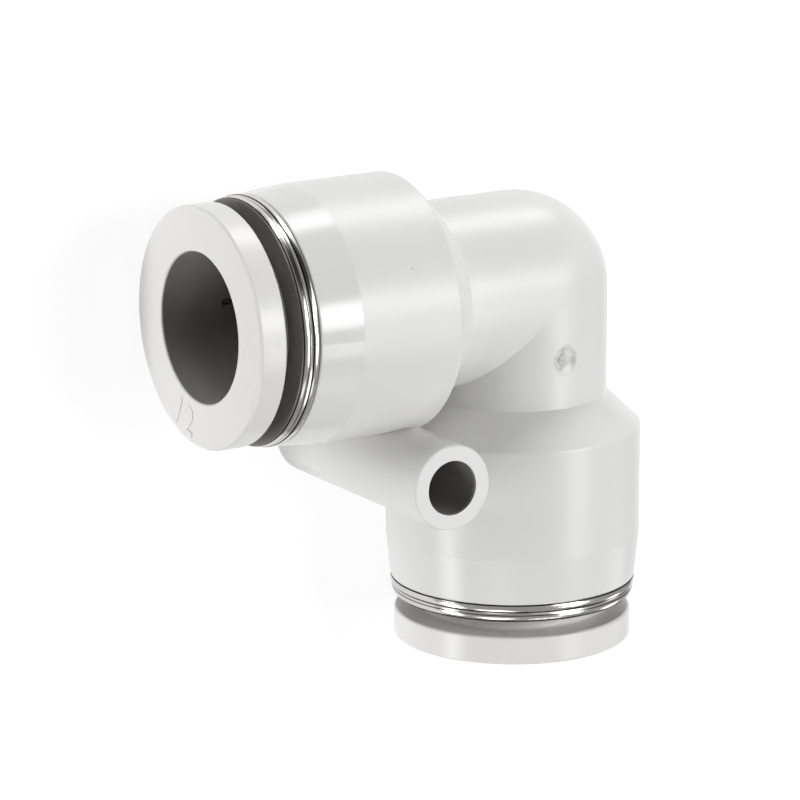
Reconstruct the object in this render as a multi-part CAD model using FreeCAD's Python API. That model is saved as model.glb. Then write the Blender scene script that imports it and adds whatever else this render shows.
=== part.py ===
import FreeCAD, Part
import math
import os

# Push-in union elbow for rigid nylon or polyurethane tube.
# All lengths are in millimetres.
#
# Frame: the fitting lies on its side. The screw hole stands along Z, its lower end is the origin, and
# Z = 0 is the surface the fitting lies on. Port a opens towards -X and port b towards -Y.
#
# Each port is drawn once, in a port frame: h is the distance out from the elbow's centre along the
# port's axis, and r is the distance from that axis.

# Tube, and what it goes through
tube_od = 12.0
ring_bore_play = 0.1          # radial play of the tube in the release ring
backup_bore_play = 0.2        # radial play of the tube in the backup ring
seat_play = 0.05              # radial play of the tube end in the body
lip_squeeze = 0.05            # radial squeeze of the seal's lip on the tube
tooth_bite = 0.2              # how far the claw's teeth reach inside the tube's wall

# Clearances between the fitting's own pieces
nest_gap = 0.03               # between pieces that are pressed or laid together and don't move
running_gap = 0.06            # release ring's sleeve in the guide ring, radial
lug_gap = 0.27                # release ring's lug in the guide ring's recess, radial
catch_gap = 0.1               # between the lug and the guide ring's shoulder that catches it
lug_room = 0.17               # between the pressed lug and the claw's rim
end_gap = 0.14                # between flange and guide ring when fully pressed
nose_gap = 0.08               # between the release ring's nose and the teeth

# Release ring
press_travel = 1.2
ring_wall = 1.4
flange_thickness = 2.34
flange_set_back = 0.32        # flange's edge inside the mouth's edge, radial
flange_round = 0.22
bore_round = 0.2
sleeve_root_round = 0.3
lug_rise = 0.55               # how far the lug stands out of the sleeve
lug_length = 1.1
lug_ramp = 0.5
nose_set_in = 0.25            # how much slimmer the nose is than the sleeve
nose_tip_wall = 0.5
slit_count = 4
slit_width = 0.8
slit_above_lug = 1.8          # the slits run this far past the lug

# Guide ring
recess_wall = 0.75            # metal around the recess for the lug
guide_grip = 2.2              # from the guide ring's shoulder to the mouth
collar_length = 1.45          # what stands out of the mouth
bead_rise = 0.03              # bead beside the mouth, outside the mouth's edge
bead_crown = 0.05             # how much a bead bulges
front_bead_set_back = 0.08    # front bead inside the other one
front_draw_in = 0.1           # how much the front bead slopes in towards its front edge
groove_depth = 0.12
groove_width = 0.3
front_round = 0.09
barb_count = 2
barb_height = 0.15
barb_length = 0.9
barb_land = 0.1
barb_pitch = 1.5
barb_set_in = 2.5             # from the mouth to the foot of the first barb

# Lock claw
claw_thickness = 0.3
tooth_reach = 1.6             # from the tube's surface out to the teeth's roots
tooth_angle = 35.0            # degrees below the rim's plane
tooth_count = 12
tooth_slit_width = 0.9
tooth_slit_stop = 0.35        # from the slits' round ends out to the teeth's roots

# Backup ring
backup_length = 3.0
funnel_start = 0.5            # height of the straight bore below the funnel
funnel_step = 0.3             # ledge where the funnel meets the straight bore
funnel_lip = 0.32             # edge left outside the funnel

# Seal
seal_section = 2.3            # radial room for the seal, from the tube's surface
seal_height = 3.34
seal_groove_depth = 1.9
seal_groove_width = 0.5
seal_lip_thickness = 0.75
seal_lip_rise = 0.55          # from the seal's front to the tightest line of its lip
seal_lip_tip = 0.18           # from the seal's front to the tip of its lip
seal_corner = 0.3
heel_play = 0.25

# Body
neck_wall = 1.62              # around the tube seat
stop_step = 1.15              # shoulder that stops the tube
stop_run = 1.23               # from the other port's neck to the stop
seat_length = 3.7
tube_lead_in = 0.4
cone_run = 1.3                # from the other port's neck to the foot of the cone
cone_angle = 46.1             # degrees between the cone and the port's axis
shoulder_round = 0.32
mouth_wall = 1.02
mouth_draw_in = 0.38          # how much the barrel tapers towards its mouth
mouth_length = 3.8            # the stretch over which it does
mouth_round = 0.22

# Screw boss
hole_r = 2.24
boss_wall = 1.26
boss_sink = 1.03              # how deep the boss sinks into each barrel
boss_above_barrel = 0.5       # the upper end of the boss stands this far above the barrels
boss_round = 0.15

# Gate mark on the neck of port b, facing up
gate_h = 4.92
gate_r = 1.34
gate_depth = 0.3
gate_nub_r = 0.52
gate_nub_height = 0.12

overshoot = 1.0               # how far a cutting shape runs past what it cuts

# Radii, from the tube outwards
tube_r = tube_od / 2
ring_bore_r = tube_r + ring_bore_play
sleeve_r = ring_bore_r + ring_wall
lug_r = sleeve_r + lug_rise
recess_r = lug_r + lug_gap
guide_r = recess_r + recess_wall
guide_socket_r = guide_r + nest_gap
mouth_r = guide_socket_r + mouth_wall
barrel_r = mouth_r + mouth_draw_in
flange_r = mouth_r - flange_set_back
chamber_r = tube_r + seal_section
tooth_root_r = tube_r + tooth_reach
seat_r = tube_r + seat_play
passage_r = seat_r - stop_step
neck_r = seat_r + neck_wall
boss_r = hole_r + boss_wall

# Heights, from the elbow's centre outwards
stop = neck_r + stop_run
seal_floor = stop + seat_length
backup_low = seal_floor + nest_gap + seal_height + nest_gap
claw_floor = backup_low + backup_length
rim_low = claw_floor + nest_gap
rim_top = rim_low + claw_thickness
guide_shoulder = rim_top + lug_room + press_travel + lug_ramp + lug_length + catch_gap
mouth = guide_shoulder + guide_grip
collar_front = mouth + collar_length
flange_back = collar_front + press_travel + end_gap
face = flange_back + flange_thickness
cone_foot = neck_r + cone_run
barrel_rear = cone_foot + (barrel_r - neck_r) / math.tan(math.radians(cone_angle))

port_offset = barrel_r + boss_r - boss_sink
boss_top = 2 * barrel_r + boss_above_barrel
elbow_centre = FreeCAD.Vector(port_offset, port_offset, barrel_r)
port_directions = {
    "a": FreeCAD.Vector(-1, 0, 0),
    "b": FreeCAD.Vector(0, -1, 0),
}


def at(r, h):
    """A point of a section, at radius r and height h on the port's axis."""
    return FreeCAD.Vector(r, 0, h)


def line(*points):
    """Straight edges through the points in turn."""
    return [Part.makeLine(p, q) for p, q in zip(points, points[1:])]


def arc(start, middle, end):
    return [Part.Arc(start, middle, end).toShape()]


def turned(edges):
    """The solid that a closed section sweeps around the port's axis."""
    section = Part.Face(Part.Wire(edges))
    return section.revolve(FreeCAD.Vector(0, 0, 0), FreeCAD.Vector(0, 0, 1), 360)


def turned_polygon(*points):
    return turned(line(*points, points[0]))


def rims(shape, radius, height):
    """The circular edges of that radius whose centre lies on the axis at that height."""
    found = []
    for edge in shape.Edges:
        curve = edge.Curve
        if not isinstance(curve, Part.Circle) or abs(curve.Radius - radius) > 1e-4:
            continue
        if abs(curve.Center.z - height) < 1e-4 and math.hypot(curve.Center.x, curve.Center.y) < 1e-4:
            found.append(edge)
    return found


def rounded(shape, size, *circles):
    """Round the circular edges given as pairs of radius and height."""
    edges = [edge for radius, height in circles for edge in rims(shape, radius, height)]
    return shape.makeFillet(size, edges)


def cylinder(radius, low, high):
    return Part.makeCylinder(radius, high - low, FreeCAD.Vector(0, 0, low))


def placed(shape, port):
    """Move a shape from the port frame to its port on the fitting."""
    turn = FreeCAD.Rotation(FreeCAD.Vector(0, 0, 1), port_directions[port])
    moved = shape.copy()
    moved.Placement = FreeCAD.Placement(elbow_centre, turn)
    return moved


def around(tool, count):
    """Copies of a shape, evenly spaced around the port's axis."""
    copies = []
    for k in range(count):
        turn = tool.copy()
        turn.rotate(FreeCAD.Vector(0, 0, 0), FreeCAD.Vector(0, 0, 1), k * 360 / count)
        copies.append(turn)
    return copies


# Body


def leg_outside():
    """Neck, cone, barrel and the taper to its mouth."""
    leg = turned_polygon(
        at(0, 0),
        at(neck_r, 0),
        at(neck_r, cone_foot),
        at(barrel_r, barrel_rear),
        at(barrel_r, mouth - mouth_length),
        at(mouth_r, mouth),
        at(0, mouth),
    )
    leg = rounded(leg, shoulder_round, (barrel_r, barrel_rear))
    return rounded(leg, mouth_round, (mouth_r, mouth))


def barbs(gap):
    """Saw-tooth rings on the guide ring's outside, sloping inwards so that they hold in the mouth."""
    rings = []
    for k in range(barb_count):
        low = mouth - barb_set_in - k * barb_pitch
        rings.append(turned_polygon(
            at(guide_r - barb_height, low - gap),
            at(guide_r + gap, low - gap),
            at(guide_r + barb_height + gap, low + barb_length - barb_land),
            at(guide_r + barb_height + gap, low + barb_length + gap),
            at(guide_r - barb_height, low + barb_length + gap),
        ))
    return rings


def leg_inside():
    """Passage, tube seat, seal chamber and guide ring socket, as one tool."""
    hollow = turned_polygon(
        at(0, 0),
        at(passage_r, 0),
        at(passage_r, stop),
        at(seat_r, stop),
        at(seat_r, seal_floor - tube_lead_in),
        at(seat_r + tube_lead_in, seal_floor),
        at(chamber_r, seal_floor),
        at(chamber_r, claw_floor),
        at(guide_socket_r, claw_floor),
        at(guide_socket_r, mouth + overshoot),
        at(0, mouth + overshoot),
    )
    return hollow.fuse(barbs(nest_gap))


def boss():
    """Plain cylinder with rounded ends, standing on Z = 0."""
    return rounded(cylinder(boss_r, 0, boss_top), boss_round, (boss_r, 0), (boss_r, boss_top))


def gate_mark(body):
    """Shallow dish on the neck, with the broken gate's nub in it."""
    spot = elbow_centre + port_directions["b"] * gate_h + FreeCAD.Vector(0, 0, neck_r)
    dish_r = (gate_r ** 2 + gate_depth ** 2) / (2 * gate_depth)
    dish = Part.makeSphere(dish_r, spot + FreeCAD.Vector(0, 0, dish_r - gate_depth))
    nub_foot = spot - FreeCAD.Vector(0, 0, gate_depth + gate_nub_height)
    nub = Part.makeCylinder(gate_nub_r, 2 * gate_nub_height, nub_foot)
    return body.cut(dish).fuse(nub)


def make_body():
    outside = Part.makeSphere(neck_r, elbow_centre)
    inside = Part.makeSphere(passage_r, elbow_centre)
    outside = outside.fuse([placed(leg_outside(), port) for port in port_directions])
    inside = inside.fuse([placed(leg_inside(), port) for port in port_directions])
    screw_hole = cylinder(hole_r, -overshoot, boss_top + overshoot)
    body = outside.fuse(boss()).cut(inside).cut(screw_hole)
    return gate_mark(body).removeSplitter()


# Pieces inside a port


def make_seal():
    """Lip seal. Its groove and its lip face the pressure, towards the elbow."""
    outer_r = chamber_r - nest_gap
    front = seal_floor + nest_gap
    back = front + seal_height
    lip_r = tube_r - lip_squeeze
    lip_outer_r = lip_r + seal_lip_thickness
    groove_top = front + seal_groove_depth
    groove_mid_r = lip_outer_r + seal_groove_width / 2
    edges = line(
        at(lip_outer_r + seal_groove_width, groove_top),
        at(lip_outer_r + 2 * seal_groove_width, front),
        at(outer_r - seal_corner, front),
        at(outer_r, front + seal_corner),
        at(outer_r, back - seal_corner),
        at(outer_r - seal_corner, back),
        at(tube_r + heel_play + seal_corner, back),
        at(tube_r + heel_play, back - seal_corner),
        at(lip_r, front + seal_lip_rise),
        at(lip_r + seal_lip_thickness / 2, front + seal_lip_tip),
        at(lip_outer_r, front + seal_lip_rise),
        at(lip_outer_r, groove_top),
    )
    edges += arc(at(lip_outer_r, groove_top), at(groove_mid_r, groove_top + seal_groove_width / 2),
                 at(lip_outer_r + seal_groove_width, groove_top))
    return turned(edges)


def make_backup_ring():
    """Spacer between seal and claw, with a funnel that leaves the teeth room to bend."""
    outer_r = chamber_r - nest_gap
    bore_r = tube_r + backup_bore_play
    return turned_polygon(
        at(bore_r, backup_low),
        at(outer_r, backup_low),
        at(outer_r, claw_floor),
        at(outer_r - funnel_lip, claw_floor),
        at(bore_r + funnel_step, backup_low + funnel_start),
        at(bore_r, backup_low + funnel_start),
    )


def tooth_top(r):
    """Height of the teeth's outer surface at radius r."""
    return rim_top - (tooth_root_r - r) * math.tan(math.radians(tooth_angle))


def make_lock_claw():
    """Flat rim with a cone of teeth, cut apart by slits with round ends."""
    slope = math.radians(tooth_angle)
    tip_r = tube_r - tooth_bite
    claw = turned_polygon(
        at(guide_r, rim_low),
        at(guide_r, rim_top),
        at(tooth_root_r, rim_top),
        at(tip_r, tooth_top(tip_r)),
        at(tip_r + claw_thickness * math.sin(slope), tooth_top(tip_r) - claw_thickness * math.cos(slope)),
        at(tooth_root_r + claw_thickness * math.tan(slope / 2), rim_low),
    )
    low = tooth_top(tip_r) - overshoot
    depth = rim_top + overshoot - low
    slit_end_r = tooth_root_r - tooth_slit_stop
    slit = Part.makeBox(slit_end_r, tooth_slit_width, depth, FreeCAD.Vector(0, -tooth_slit_width / 2, low))
    round_end = Part.makeCylinder(tooth_slit_width / 2, depth, FreeCAD.Vector(slit_end_r, 0, low))
    return claw.cut(around(slit.fuse(round_end), tooth_count))


def bead(start_r, start_h, end_r, end_h):
    """A low bulge between two points of the collar's outside."""
    middle = at((start_r + end_r) / 2 + bead_crown, (start_h + end_h) / 2)
    return arc(at(start_r, start_h), middle, at(end_r, end_h))


def collar_outline():
    """Two low beads with a groove between them, from the mouth to the guide ring's front."""
    rear = mouth + nest_gap
    middle = mouth + collar_length / 2
    rear_r = mouth_r + bead_rise - bead_crown
    front_r = rear_r - front_bead_set_back
    edge_r = front_r - front_draw_in
    groove_rear = middle - groove_width / 2
    groove_front = middle + groove_width / 2
    edge_h = collar_front - front_round
    edges = line(at(guide_r, rear), at(rear_r, rear))
    edges += bead(rear_r, rear, rear_r, groove_rear)
    edges += line(at(rear_r, groove_rear), at(rear_r - groove_depth, middle), at(front_r, groove_front))
    edges += bead(front_r, groove_front, edge_r, edge_h)
    return edges + line(at(edge_r, edge_h), at(edge_r - front_round, collar_front))


def guide_outline():
    """Section of the guide ring, from its inner end out to the collar and back along its bore."""
    bore_r = sleeve_r + running_gap
    low = rim_top + nest_gap
    collar = collar_outline()
    front_edge = collar[-1].valueAt(collar[-1].LastParameter)
    return line(at(guide_r, low), at(guide_r, mouth + nest_gap)) + collar + line(
        front_edge,
        at(bore_r + front_round, collar_front),
        at(bore_r, collar_front - front_round),
        at(bore_r, guide_shoulder),
        at(recess_r, guide_shoulder),
        at(recess_r, low),
        at(guide_r, low),
    )


def make_guide_ring():
    return turned(guide_outline()).fuse(barbs(0)).removeSplitter()


def make_release_ring():
    """Flange, sleeve, catching lug and a tapered nose, all around one straight bore."""
    lug_top = guide_shoulder - catch_gap
    lug_low = lug_top - lug_length
    nose_tip_r = ring_bore_r + nose_tip_wall
    nose_end = tooth_top(nose_tip_r) + nose_gap
    ring = turned_polygon(
        at(ring_bore_r, nose_end),
        at(nose_tip_r, nose_end),
        at(sleeve_r - nose_set_in, lug_low - lug_ramp),
        at(lug_r, lug_low),
        at(lug_r, lug_top),
        at(sleeve_r, lug_top),
        at(sleeve_r, flange_back),
        at(flange_r, flange_back),
        at(flange_r, face),
        at(ring_bore_r, face),
    )
    ring = rounded(ring, flange_round, (flange_r, flange_back), (flange_r, face))
    ring = rounded(ring, bore_round, (ring_bore_r, face))
    ring = rounded(ring, sleeve_root_round, (sleeve_r, flange_back))
    slit_low = nose_end - overshoot
    slit = Part.makeBox(lug_r + overshoot, slit_width, lug_top + slit_above_lug - slit_low,
                        FreeCAD.Vector(0, -slit_width / 2, slit_low))
    return ring.cut(around(slit, slit_count))


def main():
    os.makedirs("parts", exist_ok=True)
    make_body().exportStep("parts/body.step")
    pieces = {
        "seal": make_seal(),
        "backup_ring": make_backup_ring(),
        "lock_claw": make_lock_claw(),
        "guide_ring": make_guide_ring(),
        "release_ring": make_release_ring(),
    }
    for name, piece in pieces.items():
        for port in port_directions:
            placed(piece, port).exportStep(f"parts/{name}_{port}.step")


main()
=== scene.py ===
import math

import bmesh
import bpy
from mathutils import Matrix, Vector


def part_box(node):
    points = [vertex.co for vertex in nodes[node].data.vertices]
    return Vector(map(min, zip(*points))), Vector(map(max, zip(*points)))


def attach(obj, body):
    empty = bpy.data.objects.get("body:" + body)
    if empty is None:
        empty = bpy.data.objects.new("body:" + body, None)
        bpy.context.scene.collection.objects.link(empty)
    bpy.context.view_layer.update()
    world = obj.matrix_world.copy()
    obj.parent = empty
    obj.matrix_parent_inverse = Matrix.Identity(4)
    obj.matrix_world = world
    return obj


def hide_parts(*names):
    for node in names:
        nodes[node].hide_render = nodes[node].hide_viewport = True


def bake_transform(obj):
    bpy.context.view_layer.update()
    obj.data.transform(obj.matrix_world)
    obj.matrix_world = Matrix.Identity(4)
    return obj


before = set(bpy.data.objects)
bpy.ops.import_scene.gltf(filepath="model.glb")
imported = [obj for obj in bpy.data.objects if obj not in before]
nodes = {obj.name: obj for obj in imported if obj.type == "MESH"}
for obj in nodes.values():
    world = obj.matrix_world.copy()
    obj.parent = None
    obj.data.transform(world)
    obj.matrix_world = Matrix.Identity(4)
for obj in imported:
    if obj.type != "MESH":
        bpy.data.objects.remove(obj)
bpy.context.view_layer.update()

# A millimetre, the unit of the sizes and places below, in Blender's metres
MM = 0.001


def corner_mm(node, end):
    """Lowest (end 0) or highest (end 1) corner of a node's box, in millimetres."""
    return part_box(node)[end] / MM


def middle_mm(node):
    """Middle of a node's box, in millimetres."""
    return (corner_mm(node, 0) + corner_mm(node, 1)) / 2


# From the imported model, in millimetres: the elbow's centre, how far out along port a its pieces end, and
# the height of the screw boss
CENTRE = Vector((middle_mm("release_ring_b").x, *middle_mm("release_ring_a").yz))
FACE = CENTRE.x - corner_mm("release_ring_a", 0).x
MOUTH = CENTRE.x - corner_mm("body", 0).x
COLLAR_FRONT = CENTRE.x - corner_mm("guide_ring_a", 0).x
CLAW_TOP = CENTRE.x - corner_mm("lock_claw_a", 0).x
BOSS_TOP = corner_mm("body", 1).z

# The way out of each port
OUTWARDS = {"a": Vector((-1, 0, 0)), "b": Vector((0, -1, 0))}

# Radii just past the walls of the screw hole and of a release ring's bore
HOLE_REACH = 2.27
BORE_REACH = 6.3

# Camera, as the photograph was taken: turned and raised from looking straight down on the fitting
VIEW_TURN = math.radians(-32.06)
VIEW_RISE = math.radians(14.49)
VIEW_TARGET = Vector((2.121, 4.481, 10.264)) * MM
VIEW_DISTANCE = 400.7 * MM
IMAGE_UP = Vector((0, 1, 0))
SENSOR = 36.0
LENS = 221.8
CLIP_NEAR = 10 * MM
CLIP_FAR = 20000 * MM


def placed(right, up, back, place):
    """Matrix of a thing that looks along -back, with up at its top."""
    turn = Matrix((right, up, back)).transposed().to_4x4()
    return Matrix.Translation(place) @ turn


def add_object(name, data):
    """Put a new object that carries the data into the scene."""
    thing = bpy.data.objects.new(name, data)
    bpy.context.scene.collection.objects.link(thing)
    return thing


def add_shape(name, shape, finish):
    """Put a bmesh into the scene as an object of one material."""
    mesh = bpy.data.meshes.new(name)
    shape.to_mesh(mesh)
    shape.free()
    mesh.materials.append(finish)
    return add_object(name, mesh)


def make_camera():
    data = bpy.data.cameras.new("camera")
    data.sensor_width = SENSOR
    data.lens = LENS
    data.clip_start = CLIP_NEAR
    data.clip_end = CLIP_FAR
    back = Vector((
        math.sin(VIEW_TURN) * math.cos(VIEW_RISE),
        math.sin(VIEW_RISE),
        math.cos(VIEW_TURN) * math.cos(VIEW_RISE),
    ))
    right = IMAGE_UP.cross(back).normalized()
    camera = add_object("camera", data)
    camera.matrix_world = placed(right, back.cross(right), back, VIEW_TARGET + back * VIEW_DISTANCE)
    bpy.context.scene.camera = camera


# Colour sockets of the Mix node
MIX_FIRST = 6
MIX_SECOND = 7
MIX_RESULT = 2

# Range that most of a noise lies in
NOISE_LOW = 0.3
NOISE_HIGH = 0.7

IOR = 1.5


class Nodes:
    """A node tree that is written down link by link."""

    def __init__(self, tree):
        self.tree = tree
        tree.nodes.clear()

    def add(self, kind, **settings):
        node = self.tree.nodes.new(kind)
        for key, value in settings.items():
            setattr(node, key, value)
        return node

    def put(self, node, socket, value):
        """Set a socket to a constant, or link it to another node's socket."""
        target = node.inputs[socket]
        if isinstance(value, bpy.types.NodeSocket):
            self.tree.links.new(value, target)
        else:
            target.default_value = value

    def calculate(self, kind, operation, values):
        node = self.add(kind, operation=operation)
        for index, value in enumerate(values):
            self.put(node, index, value)
        return node

    def math(self, operation, *values):
        return self.calculate("ShaderNodeMath", operation, values).outputs["Value"]

    def vector(self, operation, *values):
        """Vector operation that gives a vector."""
        return self.calculate("ShaderNodeVectorMath", operation, values).outputs["Vector"]

    def measure(self, operation, *values):
        """Vector operation that gives a number, such as a distance."""
        return self.calculate("ShaderNodeVectorMath", operation, values).outputs["Value"]

    def scaled(self, vector, factor):
        node = self.add("ShaderNodeVectorMath", operation="SCALE")
        self.put(node, "Vector", vector)
        self.put(node, "Scale", factor)
        return node.outputs["Vector"]

    def split(self, vector):
        node = self.add("ShaderNodeSeparateXYZ")
        self.put(node, "Vector", vector)
        return node.outputs

    def flat_length(self, x, y):
        squares = self.math("ADD", self.math("MULTIPLY", x, x), self.math("MULTIPLY", y, y))
        return self.math("SQRT", squares)

    def mix(self, factor, first, second):
        """Colour mix: first where factor is 0, second where it is 1."""
        node = self.add("ShaderNodeMix", data_type="RGBA")
        self.put(node, "Factor", factor)
        self.put(node, MIX_FIRST, first)
        self.put(node, MIX_SECOND, second)
        return node.outputs[MIX_RESULT]

    def noise(self, vector, scale, detail=3.0):
        node = self.add("ShaderNodeTexNoise")
        self.put(node, "Vector", vector)
        self.put(node, "Scale", scale)
        self.put(node, "Detail", detail)
        return node.outputs["Fac"]

    def smooth(self, value, low, high, to_low=0.0, to_high=1.0):
        """Smooth step from to_low, where the value is low, to to_high, where it is high."""
        node = self.add("ShaderNodeMapRange", interpolation_type="SMOOTHSTEP")
        self.put(node, "Value", value)
        self.put(node, "From Min", low)
        self.put(node, "From Max", high)
        self.put(node, "To Min", to_low)
        self.put(node, "To Max", to_high)
        return node.outputs[0]

    def drift(self, noise, limits):
        """Value that follows a noise from the first limit to the second."""
        return self.smooth(noise, NOISE_LOW, NOISE_HIGH, *limits)

    def near(self, distance, core, rim, strength=1.0):
        """The strength up to the core, fading to 0 at the rim."""
        return self.smooth(distance, core, rim, strength, 0.0)

    def place(self):
        """Where the surface is in the fitting's own frame, in millimetres."""
        return self.scaled(self.add("ShaderNodeTexCoord").outputs["Object"], 1 / MM)

    def along(self, place, port):
        """Distance out from the elbow's centre along a port, and distance from that port's axis."""
        relative = self.vector("SUBTRACT", place, CENTRE)
        height = self.measure("DOT_PRODUCT", relative, OUTWARDS[port])
        radius = self.measure("DISTANCE", relative, self.scaled(OUTWARDS[port], height))
        return height, radius

    def bump(self, height, depth, strength=1.0, under=None):
        """Normal for a relief that is depth millimetres deep, on top of an earlier relief's normal."""
        node = self.add("ShaderNodeBump")
        self.put(node, "Height", height)
        self.put(node, "Strength", strength)
        self.put(node, "Distance", depth * MM)
        if under:
            self.put(node, "Normal", under)
        return node.outputs["Normal"]

    def surface(self, colour, roughness, normal, metallic=0.0):
        shader = self.add("ShaderNodeBsdfPrincipled")
        self.put(shader, "Base Color", colour)
        self.put(shader, "Roughness", roughness)
        self.put(shader, "Normal", normal)
        self.put(shader, "Metallic", metallic)
        self.put(shader, "IOR", IOR)
        self.output("ShaderNodeOutputMaterial", shader)

    def output(self, kind, shader):
        self.put(self.add(kind), "Surface", shader.outputs[0])


def grey(level, warm=0.0):
    """A neutral colour, a little warmer for warm above 0."""
    return (level * (1 + warm), level, level * (1 - 2 * warm), 1.0)


def new_material(name):
    material = bpy.data.materials.new(name)
    material.use_nodes = True
    return material, Nodes(material.node_tree)


# Fine grain of the white mouldings: noise scale and depth
GRAIN = 9.0
GRAIN_DEPTH = 0.012

# Finish of the moulded body: two whites in clouds, satin, and polished from POLISH_EDGE out to mouth a,
# where the polish takes off GRAIN_LOST of the grain
BODY_WHITES = (grey(0.765, 0.004), grey(0.79, 0.004))
BODY_CLOUD = 0.08
BODY_GRAIN_STRENGTH = 0.35
SATIN = (0.31, 0.35)
POLISHED = (0.16, 0.19)
POLISH_EDGE = (20.78, 20.82)
GRAIN_LOST = 0.9

# Painted shade down the screw hole: its grey, and the depths between which it sets in
HOLE_PAINTED_SHADE = grey(0.38, 0.02)
HOLE_FADE = (0.1, 0.5)

# Dark speck on barrel a: its place, core and rim
SPECK_PLACE = Vector((-2.68, 17.89, 19.77))
SPECK_FADE = (0.036, 0.09)
SPECK_STRENGTH = 0.75
SPECK_DARK = grey(0.12, 0.05)

# Gate mark on neck b: how far it is from the elbow's centre, the torn nub and the blotched dish round it
GATE_OFFSET = 4.92
TORN_FADE = (0.33, 0.77)
TORN_NOISE = 3.5
TORN_DEPTH = 0.16
DISH_FADE = (0.9775, 1.15)
DISH_DARKER = grey(0.5, 0.01)
BLOTCH_NOISE = 1.6
BLOTCH_EDGES = (0.35, 0.65)
BLOTCH_SHARES = (0.15, 0.75)


def hole_painted_shade(n, place):
    """Mask of the painted shade: 1 down the screw hole, 0 at its ends and outside it."""
    x, y, z = n.split(place)
    in_hole = n.math("LESS_THAN", n.flat_length(x, y), HOLE_REACH)
    depth = n.math("MINIMUM", z, n.math("SUBTRACT", BOSS_TOP, z))
    return n.math("MULTIPLY", in_hole, n.smooth(depth, *HOLE_FADE))


def gate_mark(n, place):
    """Height of the torn nub, and how much darker the dish is drawn, both on the upper side only."""
    x, y, z = n.split(place)
    gate_x = n.math("SUBTRACT", x, CENTRE.x)
    gate_y = n.math("SUBTRACT", y, CENTRE.y - GATE_OFFSET)
    distance = n.flat_length(gate_x, gate_y)
    facing = n.math("GREATER_THAN", z, CENTRE.z)
    rough = n.math("MULTIPLY", facing, n.noise(place, TORN_NOISE))
    torn = n.math("MULTIPLY", n.near(distance, *TORN_FADE), rough)
    dish = n.math("MULTIPLY", facing, n.near(distance, *DISH_FADE))
    blotch = n.smooth(n.noise(place, BLOTCH_NOISE), *BLOTCH_EDGES, *BLOTCH_SHARES)
    return torn, n.math("MULTIPLY", dish, blotch)


def body_plastic():
    """White moulded plastic: satin, polished towards mouth a, with painted shade down the screw hole."""
    material, n = new_material("body_plastic")
    place = n.place()
    polish = n.smooth(n.along(place, "a")[0], *POLISH_EDGE)
    cloud = n.noise(place, BODY_CLOUD)
    satin = n.drift(cloud, SATIN)
    polished = n.drift(cloud, POLISHED)
    roughness = n.math("MULTIPLY_ADD", polish, n.math("SUBTRACT", polished, satin), satin)
    grain_left = n.math("SUBTRACT", 1.0, n.math("MULTIPLY", polish, GRAIN_LOST))
    grain = n.math("MULTIPLY", n.noise(place, GRAIN), grain_left)
    speck = n.near(n.measure("DISTANCE", place, SPECK_PLACE), *SPECK_FADE, SPECK_STRENGTH)
    torn, dish_darkening = gate_mark(n, place)
    colour = n.mix(cloud, *BODY_WHITES)
    # Painted shade down the screw hole
    colour = n.mix(hole_painted_shade(n, place), colour, HOLE_PAINTED_SHADE)
    colour = n.mix(speck, colour, SPECK_DARK)
    # The gate's dish drawn darker, in blotches
    colour = n.mix(dish_darkening, colour, DISH_DARKER)
    relief = n.bump(grain, GRAIN_DEPTH, BODY_GRAIN_STRENGTH)
    n.surface(colour, roughness, n.bump(torn, TORN_DEPTH, under=relief))
    return material


# Finish of the release rings, with painted shade down the bore. Each row of the table below has the depths
# between which its painted shade sets in, and the grey of that shade.
RING_WHITES = (grey(0.785, 0.008), grey(0.81, 0.008))
RING_CLOUD = 0.1
RING_ROUGHNESS = (0.27, 0.33)
RING_GRAIN_STRENGTH = 0.25
BORE_PAINTED_SHADES = ((0.05, 0.25, grey(0.32, 0.02)), (1.5, 4.0, grey(0.27, 0.02)))


def ring_plastic(port):
    """White moulded plastic of a release ring, with painted shade down its bore."""
    material, n = new_material("ring_plastic_" + port)
    place = n.place()
    height, radius = n.along(place, port)
    in_bore = n.math("LESS_THAN", radius, BORE_REACH)
    depth = n.math("SUBTRACT", FACE, height)
    cloud = n.noise(place, RING_CLOUD)
    colour = n.mix(cloud, *RING_WHITES)
    # Painted shade deepening down the bore
    for start, end, painted_shade_grey in BORE_PAINTED_SHADES:
        shade = n.math("MULTIPLY", in_bore, n.smooth(depth, start, end))
        colour = n.mix(shade, colour, painted_shade_grey)
    grain = n.bump(n.noise(place, GRAIN), GRAIN_DEPTH, RING_GRAIN_STRENGTH)
    n.surface(colour, n.drift(cloud, RING_ROUGHNESS), grain)
    return material


# Finish of the guide rings: bright metal with turned lines
NICKEL = grey(0.60, 0.015)
TURNED_LINES = 26.0
TURNED_DETAIL = 2.0
TURNED_DEPTH = 0.0012
TURNED_ROUGHNESS = 0.05
LINE_STRENGTH = 0.5

# The collar's face towards the release ring: painted shade, for its reflection of the shaded gap, sets in
# from FRONT_START to FRONT_FULL behind its end, in two greys in clouds, and its roughness goes from the
# first to the second
FRONT_START = 0.1
FRONT_FULL = 0.05
FRONT_PAINTED_SHADES = (grey(0.21, 0.05), grey(0.15, 0.03))
FRONT_CLOUD = 0.35
FRONT_ROUGHNESS = (0.14, 0.38)

# Painted shade in the creases between the guide ring's ridges: distance out from the body's mouth, and
# half width, of which CREASE_CORE is full painted shade
CREASES = ((0.0, 0.09), (0.56, 0.08), (0.89, 0.05), (1.34, 0.07))
CREASE_CORE = 0.6
CREASE_PAINTED_SHADE = grey(0.03, 0.05)


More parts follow.
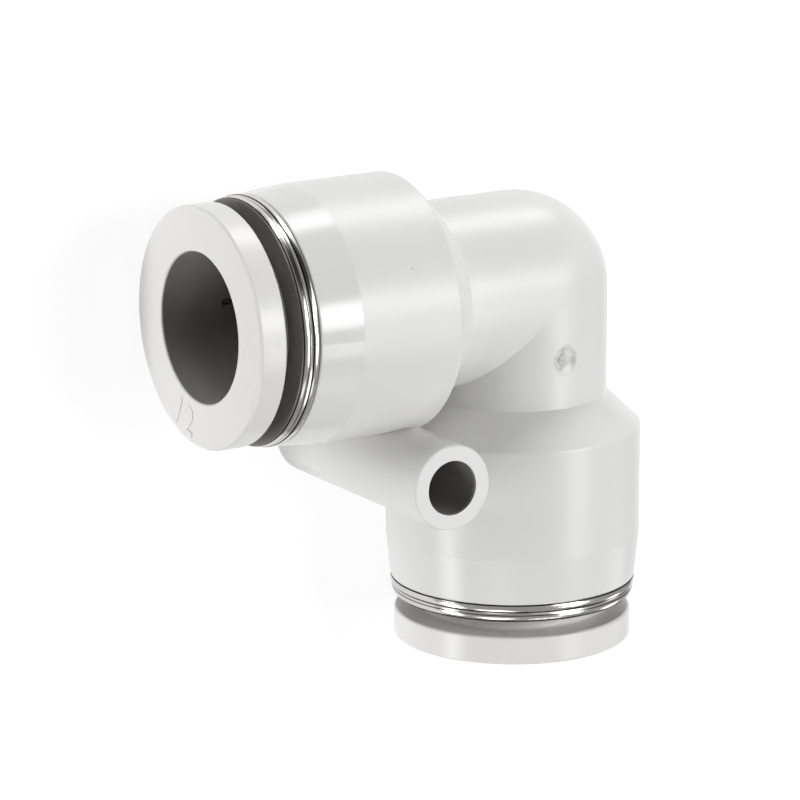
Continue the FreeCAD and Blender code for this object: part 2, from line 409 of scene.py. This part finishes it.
def bright_metal(port):
    """Bright turned metal, with painted shade in its creases. The collar's face towards the release ring
    is rougher, with painted shade.
    """
    material, n = new_material("bright_metal_" + port)
    place = n.place()
    height, radius = n.along(place, port)
    section = n.add("ShaderNodeCombineXYZ")
    n.put(section, "X", height)
    n.put(section, "Y", radius)
    lines = n.noise(section.outputs["Vector"], TURNED_LINES, TURNED_DETAIL)
    # Painted shade on the collar's face towards the release ring, which is also rougher
    painted_shade_and_dull_front = n.smooth(height, COLLAR_FRONT - FRONT_START, COLLAR_FRONT - FRONT_FULL)
    colour = n.mix(painted_shade_and_dull_front, NICKEL, n.mix(n.noise(place, FRONT_CLOUD), *FRONT_PAINTED_SHADES))
    # Painted shade in the creases between the ridges
    for middle, half in CREASES:
        away = n.math("ABSOLUTE", n.math("SUBTRACT", height, MOUTH + middle))
        colour = n.mix(n.near(away, half * CREASE_CORE, half), colour, CREASE_PAINTED_SHADE)
    between_lines = n.smooth(painted_shade_and_dull_front, 0.0, 1.0, *FRONT_ROUGHNESS)
    roughness = n.math("ADD", between_lines, n.math("MULTIPLY", lines, TURNED_ROUGHNESS))
    n.surface(colour, roughness, n.bump(lines, TURNED_DEPTH, LINE_STRENGTH), metallic=1.0)
    return material


# Finish of the lock claws, with the lines of the rolling stretched along X
STEEL_GREYS = (grey(0.5, 0.01), grey(0.62, 0.01))
STEEL_STRETCH = Vector((1, 12, 12))
STEEL_LINES = 1.2
STEEL_LINE_DEPTH = 0.002
STEEL_ROUGHNESS = (0.22, 0.34)


def claw_steel():
    """Stamped spring steel, with the fine lines of its rolling."""
    material, n = new_material("claw_steel")
    lines = n.noise(n.vector("MULTIPLY", n.place(), STEEL_STRETCH), STEEL_LINES)
    colour = n.mix(lines, *STEEL_GREYS)
    relief = n.bump(lines, STEEL_LINE_DEPTH, LINE_STRENGTH)
    n.surface(colour, n.drift(lines, STEEL_ROUGHNESS), relief, metallic=1.0)
    return material


# Finish of the backup rings
SPACER_GREYS = (grey(0.16, 0.01), grey(0.2, 0.01))
SPACER_CLOUD = 0.3
SPACER_ROUGHNESS = (0.42, 0.52)
SPACER_GRAIN = 6.0
SPACER_GRAIN_DEPTH = 0.01
SPACER_GRAIN_STRENGTH = 0.4


def spacer_plastic():
    """Grey moulded plastic of the backup rings."""
    material, n = new_material("spacer_plastic")
    place = n.place()
    cloud = n.noise(place, SPACER_CLOUD)
    colour = n.mix(cloud, *SPACER_GREYS)
    grain = n.bump(n.noise(place, SPACER_GRAIN), SPACER_GRAIN_DEPTH, SPACER_GRAIN_STRENGTH)
    n.surface(colour, n.drift(cloud, SPACER_ROUGHNESS), grain)
    return material


# Finish of the seals
RUBBER_BLACKS = (grey(0.012), grey(0.03))
BLOOM = 0.6
BLOOM_DETAIL = 4.0
RUBBER_ROUGHNESS = (0.5, 0.68)
RUBBER_GRAIN = 12.0
RUBBER_GRAIN_DEPTH = 0.01
RUBBER_GRAIN_STRENGTH = 0.5


def seal_rubber():
    """Black nitrile rubber, matt with a fine bloom."""
    material, n = new_material("seal_rubber")
    place = n.place()
    bloom = n.noise(place, BLOOM, BLOOM_DETAIL)
    colour = n.mix(bloom, *RUBBER_BLACKS)
    grain = n.bump(n.noise(place, RUBBER_GRAIN), RUBBER_GRAIN_DEPTH, RUBBER_GRAIN_STRENGTH)
    n.surface(colour, n.drift(bloom, RUBBER_ROUGHNESS), grain)
    return material


def dress(node, finish):
    for slot in node.material_slots:
        slot.material = finish


def dress_nodes(steel):
    spacer = spacer_plastic()
    rubber = seal_rubber()
    dress(nodes["body"], body_plastic())
    for port in OUTWARDS:
        dress(nodes["release_ring_" + port], ring_plastic(port))
        dress(nodes["guide_ring_" + port], bright_metal(port))
        dress(nodes["lock_claw_" + port], steel)
        dress(nodes["backup_ring_" + port], spacer)
        dress(nodes["seal_" + port], rubber)


# Raised tube size on each release ring's face. DIGIT_R is from the port's axis to the middle of a digit,
# and NUMBER has each digit with its angle round from the inner side of the elbow.
DIGIT_R = 8.22
DIGIT_HEIGHT = 2.3
DIGIT_RAISE = 0.05
DIGIT_ROUND = 0.03
DIGIT_ROUND_STEPS = 2
NUMBER = (("1", math.radians(-24.3)), ("2", math.radians(-12.3)))

# Height of a digit in Blender's own font, as a share of the font's size
FONT_CAP = 0.69


def digit(port, text, angle):
    """Mesh of one raised digit in its place, with its foot towards the ring's rim."""
    out = OUTWARDS[port]
    inner_side = OUTWARDS["b" if port == "a" else "a"]
    radial = inner_side * math.cos(angle) + out.cross(inner_side) * math.sin(angle)
    up = -radial
    curve = bpy.data.curves.new("digit", "FONT")
    curve.body = text
    curve.align_x = "CENTER"
    curve.align_y = "CENTER"
    curve.size = DIGIT_HEIGHT / FONT_CAP * MM
    curve.extrude = DIGIT_RAISE * MM
    curve.bevel_depth = DIGIT_ROUND * MM
    curve.bevel_resolution = DIGIT_ROUND_STEPS
    holder = add_object("digit_curve", curve)
    bpy.context.view_layer.update()
    mesh = bpy.data.meshes.new_from_object(holder)
    bpy.data.objects.remove(holder)
    place = (CENTRE + out * FACE + radial * DIGIT_R) * MM
    mesh.transform(placed(up.cross(out), up, out, place))
    return mesh


def make_numbers():
    for port in OUTWARDS:
        shape = bmesh.new()
        for text, angle in NUMBER:
            mesh = digit(port, text, angle)
            shape.from_mesh(mesh)
            bpy.data.meshes.remove(mesh)
        number = add_shape("size_number_" + port, shape, bpy.data.materials["ring_plastic_" + port])
        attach(number, "release_" + port)


# The claw's teeth give way when the release ring is pressed: they bend from CLAW_TOP down to BEND_DEPTH
# below it, and level cuts divide that stretch into BEND_STEPS
BEND_DEPTH = 0.45
BEND_STEPS = 8
CUT_TOLERANCE = 0.0001


def make_claws(steel):
    for port, out in OUTWARDS.items():
        shape = bmesh.new()
        shape.from_mesh(nodes["lock_claw_" + port].data)
        for step in range(1, BEND_STEPS):
            place = (CENTRE + out * (CLAW_TOP - BEND_DEPTH * step / BEND_STEPS)) * MM
            parts = shape.verts[:] + shape.edges[:] + shape.faces[:]
            bmesh.ops.bisect_plane(shape, geom=parts, dist=CUT_TOLERANCE * MM,
                                   plane_co=place, plane_no=out)
        claw = add_shape("bending_claw_" + port, shape, steel)
        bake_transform(claw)
        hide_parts("lock_claw_" + port)


def seen_rays(n):
    """1 for camera rays, and 1 for the rays of shine: glossy and transmission."""
    path = n.add("ShaderNodeLightPath")
    shine = n.math("MAXIMUM", path.outputs["Is Glossy Ray"], path.outputs["Is Transmission Ray"])
    return path.outputs["Is Camera Ray"], shine


# Small pale table, a little larger than what the camera sees of it. To the camera and in shine it glows
# white and keeps the shadow. For the light that it throws back on the fitting it is plain and diffuse.
TABLE_LOW = Vector((-34, -47, 0)) * MM
TABLE_HIGH = Vector((57, 41, 0)) * MM
TABLE_ALBEDO = 0.8
TABLE_GLOW = 0.9
TABLE_SHADED = 0.2


def table_white():
    material, n = new_material("floor_white")
    plain = n.add("ShaderNodeBsdfDiffuse")
    n.put(plain, "Color", grey(TABLE_ALBEDO))
    shaded = n.add("ShaderNodeBsdfDiffuse")
    n.put(shaded, "Color", grey(TABLE_SHADED))
    glow = n.add("ShaderNodeEmission")
    n.put(glow, "Strength", TABLE_GLOW)
    white = n.add("ShaderNodeAddShader")
    n.put(white, 0, shaded.outputs[0])
    n.put(white, 1, glow.outputs[0])
    choice = n.add("ShaderNodeMixShader")
    n.put(choice, 0, n.math("MAXIMUM", *seen_rays(n)))
    n.put(choice, 1, plain.outputs[0])
    n.put(choice, 2, white.outputs[0])
    n.output("ShaderNodeOutputMaterial", choice)
    return material


def make_table():
    corners = (
        (TABLE_LOW.x, TABLE_LOW.y, 0),
        (TABLE_HIGH.x, TABLE_LOW.y, 0),
        (TABLE_HIGH.x, TABLE_HIGH.y, 0),
        (TABLE_LOW.x, TABLE_HIGH.y, 0),
    )
    mesh = bpy.data.meshes.new("floor")
    mesh.from_pydata(corners, [], [(0, 1, 2, 3)])
    mesh.materials.append(table_white())
    floor = add_object("floor", mesh)


# What the fitting's shine shows of the studio: plain grey, a bright backdrop low behind and a dark gap
# above it. Each of the two has a direction, the cosines from there to its rim and its core, and a grey.
STUDIO_GREY = grey(0.42)
BACKDROP = (Vector((0.42, 0.88, -0.21)), 0.88, 0.95, grey(1.0))
DARK_GAP = (Vector((0.33, 0.76, 0.55)), 0.85, 0.93, grey(0.04))

# What the camera sees behind the table, and the light that comes from all round
BACKGROUND = grey(1.0)
AMBIENT = grey(0.02)


def make_world():
    world = bpy.data.worlds.new("studio")
    bpy.context.scene.world = world
    world.use_nodes = True
    n = Nodes(world.node_tree)
    direction = n.add("ShaderNodeTexCoord").outputs["Generated"]
    studio = STUDIO_GREY
    for middle, rim, core, shade in (BACKDROP, DARK_GAP):
        nearness = n.measure("DOT_PRODUCT", direction, middle.normalized())
        studio = n.mix(n.smooth(nearness, rim, core), studio, shade)
    camera, shine = seen_rays(n)
    background = n.add("ShaderNodeBackground")
    n.put(background, "Color", n.mix(camera, n.mix(shine, AMBIENT, studio), BACKGROUND))
    n.put(background, "Strength", 1.0)
    n.output("ShaderNodeOutputWorld", background)


# Softboxes round the fitting: turn from +X and rise above the table, width and height as seen from the
# fitting, all four in degrees, and radiance, where 1 is the white of the background
LAMP_DISTANCE = 400 * MM
LAMPS = (
    ("lamp_top", 92, -5, 76, 12, 5.2),
    ("lamp_top_low", 60, -13, 24, 12, 4.2),
    ("lamp_left", 156, -4, 36, 13, 6),
    ("lamp_left_side", 205, -3, 30, 13, 11),
    ("lamp_front_left", 232, 28, 24, 26, 3),
    ("lamp_key", 28, 65, 18, 26, 11),
    ("lamp_key_spill", 334, 59, 26, 20, 4.5),
    ("lamp_front", 280, 38, 24, 16, 1.2),
    ("lamp_front_right", 26, 40, 20, 16, 3),
    ("lamp_right", 328, 4, 18, 14, 3),
)


def lamp_span(angle):
    """Length that looks this many degrees long from the fitting."""
    return 2 * LAMP_DISTANCE * math.tan(math.radians(angle / 2))


def softbox(name, turn, rise, across, tall, radiance):
    turn = math.radians(turn)
    rise = math.radians(rise)
    back = Vector((math.cos(turn) * math.cos(rise), math.sin(turn) * math.cos(rise), math.sin(rise)))
    right = Vector((0, 0, 1)).cross(back).normalized()
    data = bpy.data.lights.new(name, "AREA")
    data.shape = "RECTANGLE"
    data.size = lamp_span(across)
    data.size_y = lamp_span(tall)
    data.energy = radiance * math.pi * lamp_span(across) * lamp_span(tall)
    lamp = add_object(name, data)
    lamp.matrix_world = placed(right, back.cross(right), back, VIEW_TARGET + back * LAMP_DISTANCE)
    lamp.visible_camera = False


def make_lamps():
    for lamp in LAMPS:
        softbox(*lamp)


claw_finish = claw_steel()
make_camera()
dress_nodes(claw_finish)
make_numbers()
make_claws(claw_finish)
make_table()
make_world()
make_lamps()
bpy.context.scene.view_settings.view_transform = "Standard"
